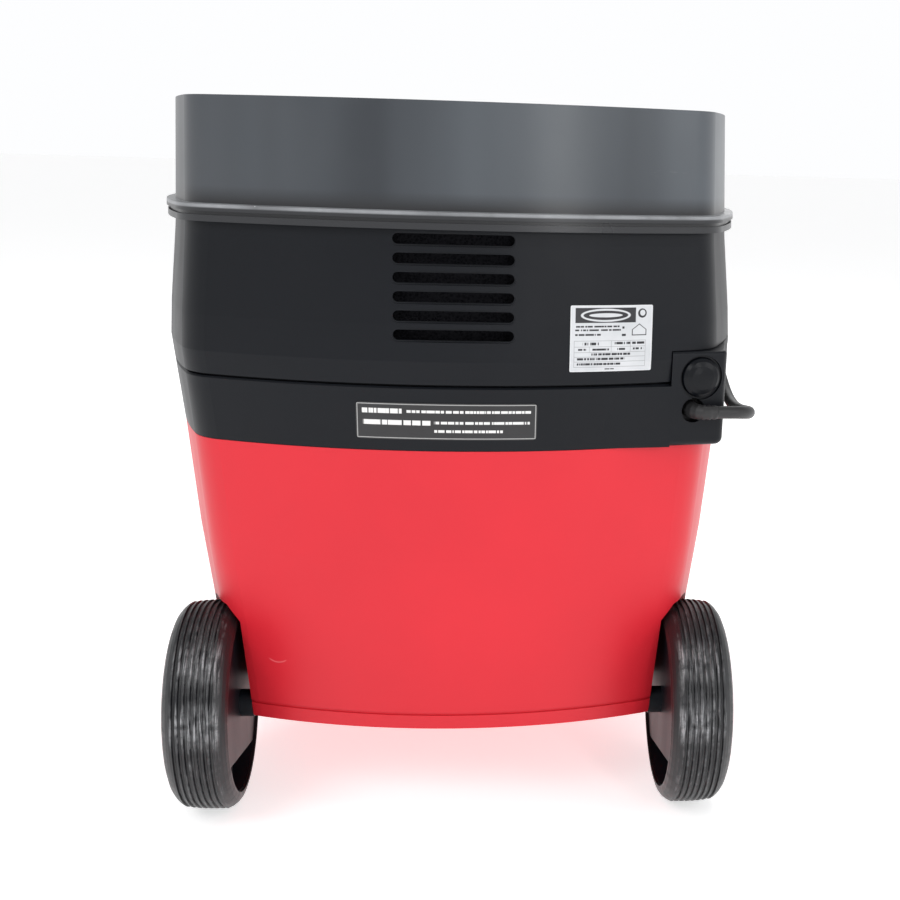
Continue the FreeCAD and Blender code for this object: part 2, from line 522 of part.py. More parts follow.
pins = [rod(PIVOT_R, (s * 144.5, 0, HANDLE_Z), (s * 165.8, 0, HANDLE_Z)) for s in (1, -1)]
save("handle_pins", Part.makeCompound(pins))
GRIP_Y, BAR_R = 126.0, 9.0
KNEE, SHOULDER = (133.0, 92.0), (92.0, GRIP_Y)      # where each bend starts and ends


def at_handle(x, y):
    return V(x, y, HANDLE_Z)


arm_dir = V(KNEE[0] - HANDLE_X, KNEE[1], 0).normalize()
bends = []
for s in (-1, 1):
    bends.append(Part.BezierCurve())
    reach = 30.0
    bends[-1].setPoles([at_handle(s * KNEE[0], KNEE[1]),
                        at_handle(s * (KNEE[0] + arm_dir.x * reach), KNEE[1] + arm_dir.y * reach),
                        at_handle(s * (SHOULDER[0] + reach), SHOULDER[1]), at_handle(s * SHOULDER[0], SHOULDER[1])])
ends = [at_handle(s * HANDLE_X, 0) for s in (-1, 1)]
spine = Part.Wire([Part.makeLine(ends[0], at_handle(-KNEE[0], KNEE[1])), bends[0].toShape(),
                   Part.makeLine(at_handle(-SHOULDER[0], GRIP_Y), at_handle(SHOULDER[0], GRIP_Y)),
                   bends[1].toShape(), Part.makeLine(at_handle(KNEE[0], KNEE[1]), ends[1])])
profile = Part.Wire(Part.makeCircle(5.2, ends[0], V(-arm_dir.x, arm_dir.y, 0)))
handle = spine.makePipeShell([profile], True, True)
handle = fuse([handle] + [rod(9.0, (s * 146.5, 0, HANDLE_Z), (s * 157.2, 0, HANDLE_Z)) for s in (1, -1)])
handle = handle.cut(rod(PIVOT_R + RUN_FIT, (-170, 0, HANDLE_Z), (-140, 0, HANDLE_Z)))
handle = handle.cut(rod(PIVOT_R + RUN_FIT, (140, 0, HANDLE_Z), (170, 0, HANDLE_Z)))
save("carry_handle", handle)
grip = tube(BAR_R, 5.2, (-70, GRIP_Y, HANDLE_Z), (70, GRIP_Y, HANDLE_Z))
save("handle_grip", grip)


# ---------------------------------------------------------------- latches
px, pz = LATCH_PIVOT
face_x = half_at(TUB_LEVELS, pz)
brackets = []
for y0, y1 in ((LATCH_Y - 22, LATCH_Y - 18.4), (LATCH_Y + 18.4, LATCH_Y + 22)):
    brackets.append(fuse([box(160, px, y0, y1, pz - 6, pz + 6), rod(5.0, (px, y0, pz), (px, y1, pz))]))
bracket = fuse(brackets + [box(155, 175, LATCH_Y - 22, LATCH_Y + 22, 197, pz + 6)])
keep = stack(TUB_LEVELS, 190, 228, 0, 3.0).cut(stack(TUB_LEVELS, 189, 229))
arms = fuse(brackets).cut(stack(TUB_LEVELS, 189, 229))
bracket = fuse([bracket.common(keep), arms])
bracket = bracket.cut(rod(3.0, (px, 20, pz), (px, 90, pz)))
for dy in (-8, 8):
    bracket = bracket.cut(rod(1.7, (150, LATCH_Y + dy, 203), (190, LATCH_Y + dy, 203)))
save_pair("latch_bracket", bracket)
save_pair("latch_pin", rod(3.0, (px, LATCH_Y - 22.4, pz), (px, LATCH_Y + 22.4, pz)))
lever = fuse([rod(5.0, (px, LATCH_Y - 18, pz), (px, LATCH_Y + 18, pz)),
              box(px - 0.4, px + 4.0, LATCH_Y - 18, LATCH_Y + 18, pz, 259.0),
              box(px - 5.0, px + 4.0, LATCH_Y - 16, LATCH_Y + 16, 255.4, 259.0),
              box(px + 1.0, px + 4.6, LATCH_Y - 18, LATCH_Y + 18, 259.0, 266.0)])
lever = lever.cut(rod(3.0 + RUN_FIT, (px, 20, pz), (px, 90, pz)))
save_pair("latch_lever", lever)


# ---------------------------------------------------------------- filter under the deck
cage = fuse([tube(72, 69, (0, 0, 150), (0, 0, 243)), rod(72, (0, 0, 150), (0, 0, 153)),
             tube(90, 69, (0, 0, 240), (0, 0, 243))])
for n in range(8):
    win = box(60, 80, -19, 19, 162, 228)
    win.rotate(V(0, 0, 0), V(0, 0, 1), 45.0 * n)
    cage = cage.cut(win)
save("filter_cage", cage)
cloth = fuse([tube(76, 73.6, (0, 0, 144), (0, 0, 239.8)), rod(76, (0, 0, 144), (0, 0, 146.4)),
              tube(89, 73.6, (0, 0, 237.4), (0, 0, 239.8))])
save("filter_cloth", cloth)
save("filter_ring", tube(92, 76.3, (0, 0, 232.0), (0, 0, 237.2)))


# ---------------------------------------------------------------- motor
save("motor_mount", tube(66, 50, (0, 0, DECK_Z[1]), (0, 0, 251)))
fan = fuse([tube(72, 70, (0, 0, 251), (0, 0, 287)), tube(72, 30, (0, 0, 251), (0, 0, 253.4)),
            tube(72, 14, (0, 0, 285), (0, 0, 287))])
for n in range(10):
    port = box(60, 80, -10, 10, 260, 280)
    port.rotate(V(0, 0, 0), V(0, 0, 1), 36.0 * n)
    fan = fan.cut(port)
save("fan_housing", fan)
SHAFT_R = 4.0
can = fuse([tube(48, 45.5, (0, 0, 287), (0, 0, 343)),
            tube(48, SHAFT_R + RUN_FIT, (0, 0, 287), (0, 0, 290)),
            tube(48, SHAFT_R + RUN_FIT, (0, 0, 340), (0, 0, 343))])
for n in range(6):
    port = box(20, 40, -6, 6, 338, 345)
    port.rotate(V(0, 0, 0), V(0, 0, 1), 60.0 * n)
    can = can.cut(port)
save("motor_can", can)
rotor = fuse([rod(SHAFT_R, (0, 0, 258), (0, 0, 347)), rod(28, (0, 0, 296), (0, 0, 330)),
              rod(16, (0, 0, 331), (0, 0, 338))])
save("rotor", rotor)
blades = []
for n in range(9):
    blade = box(14, 64, -0.8, 0.8, 261, 277)
    blade.rotate(V(14, 0, 0), V(0, 0, 1), 28)
    blade.rotate(V(0, 0, 0), V(0, 0, 1), 40.0 * n)
    blades.append(blade)
fan_wheel = fuse([rod(66, (0, 0, 276), (0, 0, 278)), rod(15, (0, 0, 260), (0, 0, 278))] + blades)
fan_wheel = fan_wheel.common(rod(66, (0, 0, 250), (0, 0, 290))).cut(rod(SHAFT_R, (0, 0, 250), (0, 0, 300)))
save("impeller", fan_wheel)
clamp = tube(52, 22, (0, 0, 343), (0, 0, 346.5))
legs = []
for n in range(3):
    leg = fuse([box(46, 84, -7, 7, 343, 346.5), box(80, 84, -7, 7, DECK_Z[1], 346.5),
                box(76, 92, -9, 9, DECK_Z[1], DECK_Z[1] + 3)])
    leg.rotate(V(0, 0, 0), V(0, 0, 1), 120.0 * n + 90)
    legs.append(leg)
save("motor_clamp", fuse([clamp] + legs))
w0 = on_face(OUTLET_POS[0], OUTLET_POS[1], 18.6)
lead = [(w0.x, w0.y, w0.z), (w0.x - 8, w0.y + 22, w0.z + 1), (112.0, -98.0, 259.0), (82.0, -84.0, 276.0),
        (52.0, -66.0, 300.0), (36.0, -48.0, 316.0)]
save("inner_lead", pipe(lead, 3.4))


# ---------------------------------------------------------------- rating plate and warning label
def patch(levels, x0, x1, z0, z1, thick, r):
    """Thin rounded sheet lying on the rear skin."""
    blank = fuse([box(x0 + r, x1 - r, -260, -100, z0, z1), box(x0, x1, -260, -100, z0 + r, z1 - r)]
                 + [rod(r, (x, -260, z), (x, -100, z)) for x in (x0 + r, x1 - r) for z in (z0 + r, z1 - r)])
    sheet = stack(levels, z0 - 1, z1 + 1, 0, thick).cut(stack(levels, z0 - 2, z1 + 2))
    return sheet.common(blank)


save("rating_plate", patch(COVER_LEVELS, 62.8, 109.2, 279.4, 315.2, 0.35, 0.8))
save("warning_label", patch(BAND_LEVELS, -53.0, 45.8, 241.0, 261.8, 0.3, 2.5))
print("done")
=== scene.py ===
import json
import math

import bmesh
import bpy
from mathutils import Matrix, Vector


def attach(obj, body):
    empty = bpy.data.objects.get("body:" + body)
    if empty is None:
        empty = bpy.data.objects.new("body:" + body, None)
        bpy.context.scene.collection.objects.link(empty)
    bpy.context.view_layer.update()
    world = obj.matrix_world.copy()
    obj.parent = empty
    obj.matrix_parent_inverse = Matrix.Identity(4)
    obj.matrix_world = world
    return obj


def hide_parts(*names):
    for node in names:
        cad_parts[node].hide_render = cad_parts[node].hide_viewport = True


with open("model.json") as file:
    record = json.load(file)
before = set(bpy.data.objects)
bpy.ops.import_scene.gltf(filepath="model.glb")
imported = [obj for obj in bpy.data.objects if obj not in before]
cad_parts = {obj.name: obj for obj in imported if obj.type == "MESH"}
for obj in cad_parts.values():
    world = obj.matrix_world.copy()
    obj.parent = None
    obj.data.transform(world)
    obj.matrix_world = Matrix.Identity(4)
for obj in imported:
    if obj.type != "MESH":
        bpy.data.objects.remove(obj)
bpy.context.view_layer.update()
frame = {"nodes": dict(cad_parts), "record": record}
NODES = frame["nodes"]
MM = 0.001

# ---------------------------------------------------------------- camera
SENSOR, LENS = 36.0, 50.24                  # mm
SHIFT = (-0.14088889, 0.082)                # the lens axis lies off the middle of the frame
CAMERA_AT = Vector((0.0062, -0.8502, 0.3941))
PITCH, YAW, ROLL = math.radians(16.44), math.radians(5.33), math.radians(1.75)


def aim_camera():
    data = bpy.data.cameras.new("view_camera")
    data.sensor_width = SENSOR
    data.lens = LENS
    data.shift_x, data.shift_y = SHIFT
    data.clip_start, data.clip_end = 0.02, 50.0
    cam = bpy.data.objects.new("view_camera", data)
    bpy.context.scene.collection.objects.link(cam)
    level = math.cos(PITCH)
    ahead = Vector((math.sin(YAW) * level, math.cos(YAW) * level, -math.sin(PITCH)))
    right = Vector((math.cos(YAW), -math.sin(YAW), 0.0))
    up = right.cross(ahead)
    side = right * math.cos(ROLL) + up * math.sin(ROLL)
    top = up * math.cos(ROLL) - right * math.sin(ROLL)
    cam.matrix_world = Matrix((
        (side.x, top.x, -ahead.x, CAMERA_AT.x),
        (side.y, top.y, -ahead.y, CAMERA_AT.y),
        (side.z, top.z, -ahead.z, CAMERA_AT.z),
        (0, 0, 0, 1)))
    bpy.context.scene.camera = cam


aim_camera()


# ---------------------------------------------------------------- node material helpers
class Shader:
    """A small wrapper that keeps the node code of one material short."""

    def __init__(self, name):
        self.mat = bpy.data.materials.new(name)
        self.mat.use_nodes = True
        self.tree = self.mat.node_tree
        self.tree.nodes.clear()
        self.out = self.tree.nodes.new("ShaderNodeOutputMaterial")
        self.bsdf = self.tree.nodes.new("ShaderNodeBsdfPrincipled")
        self.link(self.bsdf.outputs[0], self.out.inputs[0])
        self.place = self.tree.nodes.new("ShaderNodeTexCoord").outputs["Object"]

    def link(self, a, b):
        self.tree.links.new(a, b)

    def feed(self, socket, value):
        if hasattr(value, "is_output"):
            self.link(value, socket)
        else:
            socket.default_value = value

    def math(self, op, a, b=0.0, c=0.0, clamp=False):
        n = self.tree.nodes.new("ShaderNodeMath")
        n.operation, n.use_clamp = op, clamp
        for socket, value in zip(n.inputs, (a, b, c)):
            self.feed(socket, value)
        return n.outputs[0]

    def times(self, a, b):
        return self.math("MULTIPLY", a, b)

    def larger(self, first, *others):
        for other in others:
            first = self.math("MAXIMUM", first, other)
        return first

    def length(self, a, b):
        """Length of the vector (a, b)."""
        return self.math("SQRT", self.math("ADD", self.times(a, a), self.times(b, b)))

    def near(self, value, middle, full, none):
        """1 within `full` of the middle value, falling to 0 at `none`."""
        off = self.math("ABSOLUTE", self.math("SUBTRACT", value, middle))
        return self.math("SUBTRACT", 1.0, self.span(off, full, none), clamp=True)

    def axes(self):
        n = self.tree.nodes.new("ShaderNodeSeparateXYZ")
        self.feed(n.inputs[0], self.place)
        return n.outputs[0], n.outputs[1], n.outputs[2]

    def joined(self, x, y, z):
        n = self.tree.nodes.new("ShaderNodeCombineXYZ")
        for socket, value in zip(n.inputs, (x, y, z)):
            self.feed(socket, value)
        return n.outputs[0]

    def mapped(self, scale, rotation=(0, 0, 0)):
        n = self.tree.nodes.new("ShaderNodeMapping")
        self.feed(n.inputs["Vector"], self.place)
        n.inputs["Scale"].default_value = scale
        n.inputs["Rotation"].default_value = rotation
        return n.outputs[0]

    def noise(self, scale, detail=3.0, rough=0.55, vector=None):
        n = self.tree.nodes.new("ShaderNodeTexNoise")
        self.feed(n.inputs["Vector"], vector or self.place)
        n.inputs["Scale"].default_value = scale
        n.inputs["Detail"].default_value = detail
        n.inputs["Roughness"].default_value = rough
        return n.outputs["Fac"]

    def cells(self, scale):
        n = self.tree.nodes.new("ShaderNodeTexVoronoi")
        self.feed(n.inputs["Vector"], self.place)
        n.inputs["Scale"].default_value = scale
        return n.outputs["Distance"]

    def span(self, value, lo, hi, to_lo=0.0, to_hi=1.0):
        n = self.tree.nodes.new("ShaderNodeMapRange")
        self.feed(n.inputs["Value"], value)
        for key, v in (("From Min", lo), ("From Max", hi), ("To Min", to_lo), ("To Max", to_hi)):
            n.inputs[key].default_value = v
        return n.outputs[0]

    def mix(self, fac, a, b):
        n = self.tree.nodes.new("ShaderNodeMix")
        n.data_type = "RGBA"
        self.feed(n.inputs["Factor"], fac)
        for socket, value in ((n.inputs[6], a), (n.inputs[7], b)):
            if isinstance(value, tuple):
                value = (*value, 1.0)[:4]
            self.feed(socket, value)
        return n.outputs[2]

    def bump(self, height, strength, distance):
        n = self.tree.nodes.new("ShaderNodeBump")
        n.inputs["Strength"].default_value = strength
        n.inputs["Distance"].default_value = distance
        self.feed(n.inputs["Height"], height)
        return n.outputs[0]

    def set(self, **values):
        for key, value in values.items():
            self.feed(self.bsdf.inputs[key.replace("_", " ")], value)

    def gloss(self, level):
        self.bsdf.inputs["Specular IOR Level"].default_value = level


def shade(rgb, k):
    """The colour made k times as bright."""
    return tuple(min(1.0, c * k) for c in rgb)


BLACK = (0.0050, 0.0060, 0.0085)
RED = (0.640, 0.017, 0.030)
SCUFF_PALER = 2.4                           # how much paler a scuffed patch of black plastic is


def moulded(name, rgb, rough=0.42, grain=1100.0, grain_depth=0.00008, spread=0.12, scuff=0.0, coat=0.0,
             mirror=0.19):
    """Injection-moulded plastic: fine grain, faint cloudy colour, handling marks."""
    s = Shader(name)
    cloud = s.noise(7.0, 4.0, 0.6)
    fine = s.noise(grain, 2.0, 0.5)
    wipe = s.noise(16.0, 5.0, 0.65, s.mapped((1.0, 1.0, 0.35)))
    colour = s.mix(s.span(cloud, 0.3, 0.7), shade(rgb, 1.0 - spread), shade(rgb, 1.0 + spread))
    rough_map = s.math("ADD", s.span(wipe, 0.3, 0.7, rough - 0.06, rough + 0.07),
                       s.span(fine, 0, 1, -0.02, 0.02))
    if scuff:
        streak = s.noise(55.0, 6.0, 0.7, s.mapped((0.25, 1.0, 3.0), rotation=(0.2, 0.35, 0.1)))
        mask = s.times(s.span(streak, 0.66, 0.74), s.span(s.noise(4.0, 2.0), 0.48, 0.62))
        mask = s.times(mask, scuff)
        colour = s.mix(mask, colour, shade(rgb, SCUFF_PALER))
        rough_map = s.math("ADD", rough_map, s.times(mask, 0.18))
    normal = s.bump(fine, 0.35, grain_depth)
    s.set(Base_Color=colour, Roughness=rough_map, Normal=normal)
    s.gloss(mirror)
    s.bsdf.inputs["Coat Weight"].default_value = coat
    s.bsdf.inputs["Coat Roughness"].default_value = 0.25
    return s.mat


def rubbery(name, rgb, rough=0.62, dust=0.3):
    """Soft rubber: fine grain with patches of dust."""
    s = Shader(name)
    fine = s.noise(700.0, 3.0, 0.6)
    cloud = s.noise(24.0, 4.0, 0.6)
    colour = s.mix(s.span(cloud, 0.35, 0.7), rgb, shade(rgb, 1.0 + dust))
    s.set(Base_Color=colour, Roughness=s.span(cloud, 0.3, 0.7, rough - 0.05, rough + 0.08),
          Normal=s.bump(fine, 0.4, 0.0001))
    return s.mat


def metal(name, rgb, rough=0.3, grain=(40.0, 900.0, 900.0)):
    """Drawn or plated metal: brushed streaks in the gloss, slight clouding in the colour."""
    s = Shader(name)
    streak = s.noise(1.0, 3.0, 0.6, s.mapped(grain))
    cloud = s.noise(30.0, 4.0)
    colour = s.mix(s.span(cloud, 0.3, 0.7), shade(rgb, 0.86), shade(rgb, 1.06))
    s.set(Base_Color=colour, Roughness=s.span(streak, 0.25, 0.75, rough - 0.08, rough + 0.1),
          Normal=s.bump(streak, 0.2, 0.00003))
    s.bsdf.inputs["Metallic"].default_value = 1.0
    return s.mat


# places that the materials refer to, in metres
SCRATCH_X, SCRATCH_Z, SCRATCH_R = -0.1044, 0.1050, 0.0075   # centre and radius of the old scratch
SKIRT_TOP, SKIRT_LOW = 0.11, 0.058                          # the tub darkens between these heights
BRIM_TOP, DRUM_FOOT = 0.364, 0.372                          # the brim is darker than the drum above it
BEAD_FOOT, BEAD_TOP = (0.3604, 0.3612), (0.3630, 0.3626)    # the painted highlight along the bead fades in and out here
WHEEL_Y, WHEEL_Z = -0.125, 0.0635                           # rear axle
GROOVE_R, CROWN_R = 0.0612, 0.0628                          # tyre radius inside a groove and on a rib
RATING_PLATE = (0.0628, 0.3152)                             # left edge and top edge
WARNING_LABEL = (-0.0530, 0.0458, 0.2410, 0.2618)           # left, right, bottom and top edge

SCRATCH_RED = (0.90, 0.30, 0.32)
DRUM_DARK, DRUM_REFLECTION, DRUM_FILM = (0.026, 0.031, 0.038), (0.084, 0.096, 0.110), (0.050, 0.054, 0.061)
BRIM_BLACK, BEAD_HIGHLIGHT, CHIP_GREY = (0.017, 0.018, 0.021), (0.30, 0.31, 0.325), (0.62, 0.62, 0.63)
DRUM_HAIR = (0.16, 0.165, 0.175)
TYRE_DARK, TYRE_PALE, TYRE_WORN = (0.0050, 0.0053, 0.0068), (0.011, 0.0118, 0.0138), (0.34, 0.345, 0.355)
PAPER, PAPER_PALE, PAPER_EDGE = (0.52, 0.54, 0.56), (0.62, 0.63, 0.65), (0.75, 0.75, 0.76)
PLATE_INK = (0.012, 0.012, 0.016)
LABEL_DARK, LABEL_PALE, LABEL_INK = (0.010, 0.010, 0.011), (0.016, 0.016, 0.018), (0.74, 0.74, 0.73)


def tub_material():
    """Red tub: satin moulding, soft shading of the skirt, one old curved scratch by the left wheel."""
    s = Shader("red_moulded")
    x, y, z = s.axes()
    cloud = s.noise(6.0, 4.0, 0.6)
    wipe = s.noise(14.0, 5.0, 0.65, s.mapped((1.0, 1.0, 0.35)))
    colour = s.mix(s.span(cloud, 0.3, 0.7), shade(RED, 0.95), shade(RED, 1.05))
    colour = s.mix(s.times(s.span(z, SKIRT_TOP, SKIRT_LOW), 0.35), colour, shade(RED, 0.86))
    dx, dz = s.math("SUBTRACT", x, SCRATCH_X), s.math("SUBTRACT", z, SCRATCH_Z)
    line = s.near(s.length(dx, dz), SCRATCH_R, 0.0001, 0.0006)
    lower_rear = s.times(s.span(dz, -0.0052, -0.0062), s.span(y, -0.10, -0.11))
    hair = s.noise(60.0, 6.0, 0.7, s.mapped((0.3, 1.0, 3.0), rotation=(0.3, 0.5, 0.2)))
    rub_and_highlight = s.times(s.span(hair, 0.68, 0.75), s.span(s.noise(5.0, 2.0), 0.5, 0.62))
    mark = s.larger(s.times(s.times(line, lower_rear), 0.38), s.times(rub_and_highlight, 0.16))
    colour = s.mix(mark, colour, SCRATCH_RED)
    s.set(Base_Color=colour, Roughness=s.span(wipe, 0.3, 0.7, 0.34, 0.46),
          Normal=s.bump(s.noise(900.0, 2.0), 0.3, 0.00005))
    s.gloss(0.32)
    return s.mat


def drum_material():
    """Drum and its brim: glossier black with soft upright streaks of painted reflection, a painted highlight
    along the bead and a few chips on it.
    """
    s = Shader("drum_moulded")
    z = s.axes()[2]
    streak = s.noise(1.0, 3.0, 0.5, s.mapped((9.0, 9.0, 0.5)))
    film = s.noise(5.0, 4.0, 0.6)
    # painted reflection: the pale upright streaks stand in for light reflected in the glossy drum
    colour = s.mix(s.span(streak, 0.35, 0.68), DRUM_DARK, DRUM_REFLECTION)
    colour = s.mix(s.span(film, 0.5, 0.85), colour, DRUM_FILM)
    colour = s.mix(s.span(z, DRUM_FOOT, BRIM_TOP), colour, BRIM_BLACK)
    # painted highlight: a pale line along the top of the bead, where the top light would catch it
    bead = s.times(s.span(z, *BEAD_FOOT), s.span(z, *BEAD_TOP))
    rub_and_highlight = s.span(s.noise(1.0, 4.0, 0.6, s.mapped((30.0, 30.0, 4.0))), 0.2, 0.75, 0.35, 1.0)
    colour = s.mix(s.times(bead, rub_and_highlight), colour, BEAD_HIGHLIGHT)
    colour = s.mix(s.times(s.span(s.noise(210.0, 2.0), 0.755, 0.77), bead), colour, CHIP_GREY)
    hair = s.noise(50.0, 6.0, 0.7, s.mapped((0.4, 1.0, 3.5), rotation=(0.1, 0.6, 0.3)))
    colour = s.mix(s.times(s.span(hair, 0.67, 0.74), 0.25), colour, DRUM_HAIR)
    s.set(Base_Color=colour, Roughness=s.span(film, 0.3, 0.7, 0.26, 0.38),
          Normal=s.bump(s.noise(1000.0, 2.0), 0.3, 0.00005))
    s.gloss(0.5)
    return s.mat


def tread_material():
    """Worn ribbed tyre: dark in the grooves, scuffed pale on the crowns."""
    s = Shader("tyre_worn")
    x, y, z = s.axes()
    dy, dz = s.math("SUBTRACT", y, WHEEL_Y), s.math("SUBTRACT", z, WHEEL_Z)
    angle = s.math("ARCTAN2", dz, dy)
    streak = s.noise(1.0, 5.0, 0.65, s.joined(s.times(x, 900.0), s.times(angle, 3.2), 0.0))
    patch = s.noise(1.0, 4.0, 0.6, s.joined(s.times(x, 160.0), s.times(angle, 11.0), 0.0))
    crown = s.span(s.length(dy, dz), GROOVE_R, CROWN_R)
    rear_angle = s.math("ARCTAN2", dz, s.times(dy, -1.0))
    zone = s.larger(*[s.near(rear_angle, middle, 0.08, 0.26) for middle in (0.78, 0.20)])
    worn = s.times(s.times(s.span(streak, 0.46, 0.66), s.span(patch, 0.42, 0.66)), crown)
    scuffed = s.times(s.times(s.span(streak, 0.42, 0.60), crown), s.times(zone, s.span(patch, 0.30, 0.55)))
    base = s.mix(s.span(s.noise(40.0, 4.0), 0.3, 0.7), TYRE_DARK, TYRE_PALE)
    colour = s.mix(s.larger(s.times(worn, 0.4), scuffed), base, TYRE_WORN)
    relief = s.math("ADD", s.noise(900.0, 3.0), s.times(streak, 0.8))
    s.set(Base_Color=colour, Roughness=s.span(patch, 0.3, 0.7, 0.34, 0.52),
          Normal=s.bump(relief, 0.35, 0.0002))
    return s.mat


PRINT_EDGE = 0.00008                        # half the width of a printed edge


def rect(s, u, v, u0, u1, v0, v1):
    """1 inside a rectangle of the (u, v) plane, 0 outside."""
    a = s.times(s.span(u, u0 - PRINT_EDGE, u0 + PRINT_EDGE), s.span(u, u1 + PRINT_EDGE, u1 - PRINT_EDGE))
    b = s.times(s.span(v, v0 - PRINT_EDGE, v0 + PRINT_EDGE), s.span(v, v1 + PRINT_EDGE, v1 - PRINT_EDGE))
    return s.times(a, b)


def dashes(s, u, v, u0, u1, v_mid, height, grain, seed):
    """One row of short uneven bars: stands for a line of small print."""
    line = s.noise(grain, 1.0, 0.5, s.joined(u, seed, 0.0))
    bar = rect(s, u, v, u0, u1, v_mid - height / 2, v_mid + height / 2)
    return s.times(bar, s.span(line, 0.42, 0.45))


# rows of the rating plate in mm from its top left corner: left, right, middle height, thickness
PLATE_ROWS = [
    (2.7, 27.5, 11.3, 0.9), (2.7, 28.3, 13.2, 0.9), (2.7, 17.0, 15.7, 1.0), (29.0, 31.5, 12.0, 1.2),
    (7.0, 16.0, 20.6, 1.5), (25.0, 42.0, 20.4, 1.3), (4.5, 9.0, 23.7, 1.0), (12.5, 22.0, 23.7, 1.1),
    (26.5, 31.0, 23.6, 1.1), (35.5, 41.5, 23.5, 1.1), (12.0, 34.0, 26.3, 1.2), (4.0, 31.0, 28.8, 1.2),
    (4.0, 28.5, 31.6, 1.2), (19.7, 25.0, 34.4, 0.6)]
RULE = 0.22                                 # thickness of the plate's table rules, mm


def plate_material():
    """Rating plate: header bar with plain ovals, ring and house outlines, table rules, bars for print."""
    s = Shader("plate_print")
    x, _, z = s.axes()
    left, top = RATING_PLATE
    u, v = s.math("SUBTRACT", x, left), s.math("SUBTRACT", top, z)

    def block(u0, u1, v0, v1):
        return rect(s, u, v, u0 * MM, u1 * MM, v0 * MM, v1 * MM)

    def oval(cu, cv, ru, rv):
        a = s.math("DIVIDE", s.math("SUBTRACT", u, cu * MM), ru * MM)
        b = s.math("DIVIDE", s.math("SUBTRACT", v, cv * MM), rv * MM)
        return s.span(s.math("ADD", s.times(a, a), s.times(b, b)), 1.04, 0.96)

    def minus(a, b):
        return s.math("SUBTRACT", a, b, clamp=True)

    def house(grow):
        wide = s.math("ABSOLUTE", s.math("SUBTRACT", u, 38.8 * MM))
        roof = s.span(s.math("SUBTRACT", v, s.times(wide, 0.75)), (9.9 - grow) * MM, (10.1 - grow) * MM)
        return s.times(roof, block(34.6 - grow, 43.0 + grow, 9.0, 16.4 + grow))

    oval_line = minus(oval(19.7, 5.3, 14.0, 3.5), oval(19.7, 5.3, 12.6, 2.5))
    header = minus(block(2.7, 36.7, 1.3, 9.3), oval_line)
    header = minus(header, oval(19.7, 5.3, 9.4, 1.1))
    icons = [minus(oval(40.4, 4.4, 2.5, 2.5), oval(40.6, 4.2, 1.5, 1.6)), minus(house(0.0), house(-0.5)),
             block(28.9, 31.2, 15.4, 16.6)]
    rows = [dashes(s, u, v, u0 * MM, u1 * MM, mid * MM, tall * MM, 820.0 + 37 * n, 0.31 * n)
            for n, (u0, u1, mid, tall) in enumerate(PLATE_ROWS)]
    rules = [block(2.2, 42.7, h, h + RULE) for h in (18.9, 22.1, 25.1, 27.6, 30.2, 33.1)]
    rules += [block(w, w + RULE, 18.9, 25.1) for w in (23.0, 33.9)] + [block(10.7, 10.9, 22.1, 25.1)]
    rules += [block(w, w + RULE, 18.9, 33.1) for w in (2.2, 42.5)]
    ink = s.larger(header, *icons, *rows, s.times(s.larger(*rules), 0.55))
    paper = s.mix(s.span(s.noise(60.0, 4.0), 0.3, 0.7), PAPER, PAPER_PALE)
    edge = minus(1.0, block(0.6, 45.8, 0.6, 35.2))
    paper = s.mix(s.times(edge, 0.4), paper, PAPER_EDGE)
    s.set(Base_Color=s.mix(ink, paper, PLATE_INK), Roughness=s.span(s.noise(45.0, 3.0), 0.3, 0.7, 0.3, 0.42),
          Normal=s.bump(s.noise(500.0, 2.0), 0.1, 0.00004))
    return s.mat


def warning_material():
    """Black label on the band: a thin pale border and rows of bars for print."""
    s = Shader("label_print")
    x, _, z = s.axes()
    x0, x1, z0, z1 = WARNING_LABEL

    def inset(gap):
        return rect(s, x, z, x0 + gap, x1 - gap, z0 + gap, z1 - gap)

    border = s.math("SUBTRACT", inset(0.0006), inset(0.0011), clamp=True)
    rows = [dashes(s, x, z, x0 + 0.0035, x0 + 0.0250, z1 - 0.0047, 0.0027, 620.0, 1.0),
            dashes(s, x, z, x0 + 0.0275, x1 - 0.0035, z1 - 0.0048, 0.0015, 760.0, 2.0),
            dashes(s, x, z, x0 + 0.0035, x0 + 0.0405, z1 - 0.0112, 0.0027, 600.0, 5.0),
            dashes(s, x, z, x0 + 0.0425, x1 - 0.0040, z1 - 0.0110, 0.0015, 760.0, 7.0),
            dashes(s, x, z, x0 + 0.0425, x0 + 0.0800, z1 - 0.0158, 0.0015, 780.0, 9.0)]
    ink = s.larger(*rows, s.times(border, 0.45))
    base = s.mix(s.span(s.noise(50.0, 3.0), 0.3, 0.7), LABEL_DARK, LABEL_PALE)
    s.set(Base_Color=s.mix(ink, base, LABEL_INK), Roughness=s.span(s.noise(40.0, 3.0), 0.3, 0.7, 0.26, 0.4),
          Normal=s.bump(s.noise(400.0, 2.0), 0.1, 0.00004))
    return s.mat


def cloth_material(name, rgb):
    """Filter felt: crossed fibres with faint stains."""
    s = Shader(name)
    a = s.noise(1.0, 2.0, 0.5, s.mapped((900, 900, 160)))
    b = s.noise(1.0, 2.0, 0.5, s.mapped((160, 160, 900)))
    felt = s.math("ADD", s.times(a, 0.5), s.times(b, 0.5))
    stain = s.noise(22.0, 5.0, 0.6)
    colour = s.mix(s.span(stain, 0.4, 0.75), rgb, shade(rgb, 0.72))
    s.set(Base_Color=colour, Roughness=s.span(felt, 0, 1, 0.82, 0.98), Normal=s.bump(felt, 0.6, 0.0004))
    s.bsdf.inputs["Sheen Weight"].default_value = 0.3
    return s.mat


